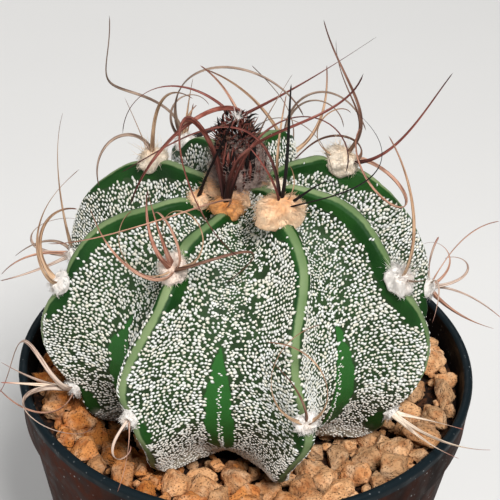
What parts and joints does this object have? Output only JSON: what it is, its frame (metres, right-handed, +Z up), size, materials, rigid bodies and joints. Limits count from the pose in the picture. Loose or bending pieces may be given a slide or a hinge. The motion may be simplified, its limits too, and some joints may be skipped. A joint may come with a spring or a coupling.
{
  "type": "potted cactus",
  "caption": "Squat ribbed cactus with white-flecked flanks, woolly areoles and long curling spines, in a round pot topped with gravel.",
  "frame": {"origin": "centre of the pot's flat base", "axes": "+Z up, along the pot's axis; -Y towards the front of the plant"},
  "size_m": [0.1456, 0.1487, 0.2047],
  "materials": {
    "pot": "satin",
    "mix": "crumbly",
    "gravel": "porous",
    "skin": "smooth",
    "bud": "papery",
    "wool": "woolly"
  },
  "bodies": {
    "root": {"pot": "pot", "potting_mix": "mix", "gravel": "gravel", "cactus_body": "skin", "crown_bud": "bud", "areole_a1": "wool", "areole_a2": "wool", "areole_b1": "wool", "areole_b2": "wool", "areole_b3": "wool", "areole_c1": "wool", "areole_c2": "wool", "areole_c3": "wool", "areole_d1": "wool", "areole_d2": "wool", "areole_e1": "wool", "areole_e2": "wool", "areole_f1": "wool", "areole_f2": "wool", "areole_f3": "wool", "areole_g1": "wool", "areole_g2": "wool", "areole_h1": "wool", "areole_h2": "wool", "areole_h3": "wool"}
  },
  "joints": []
}
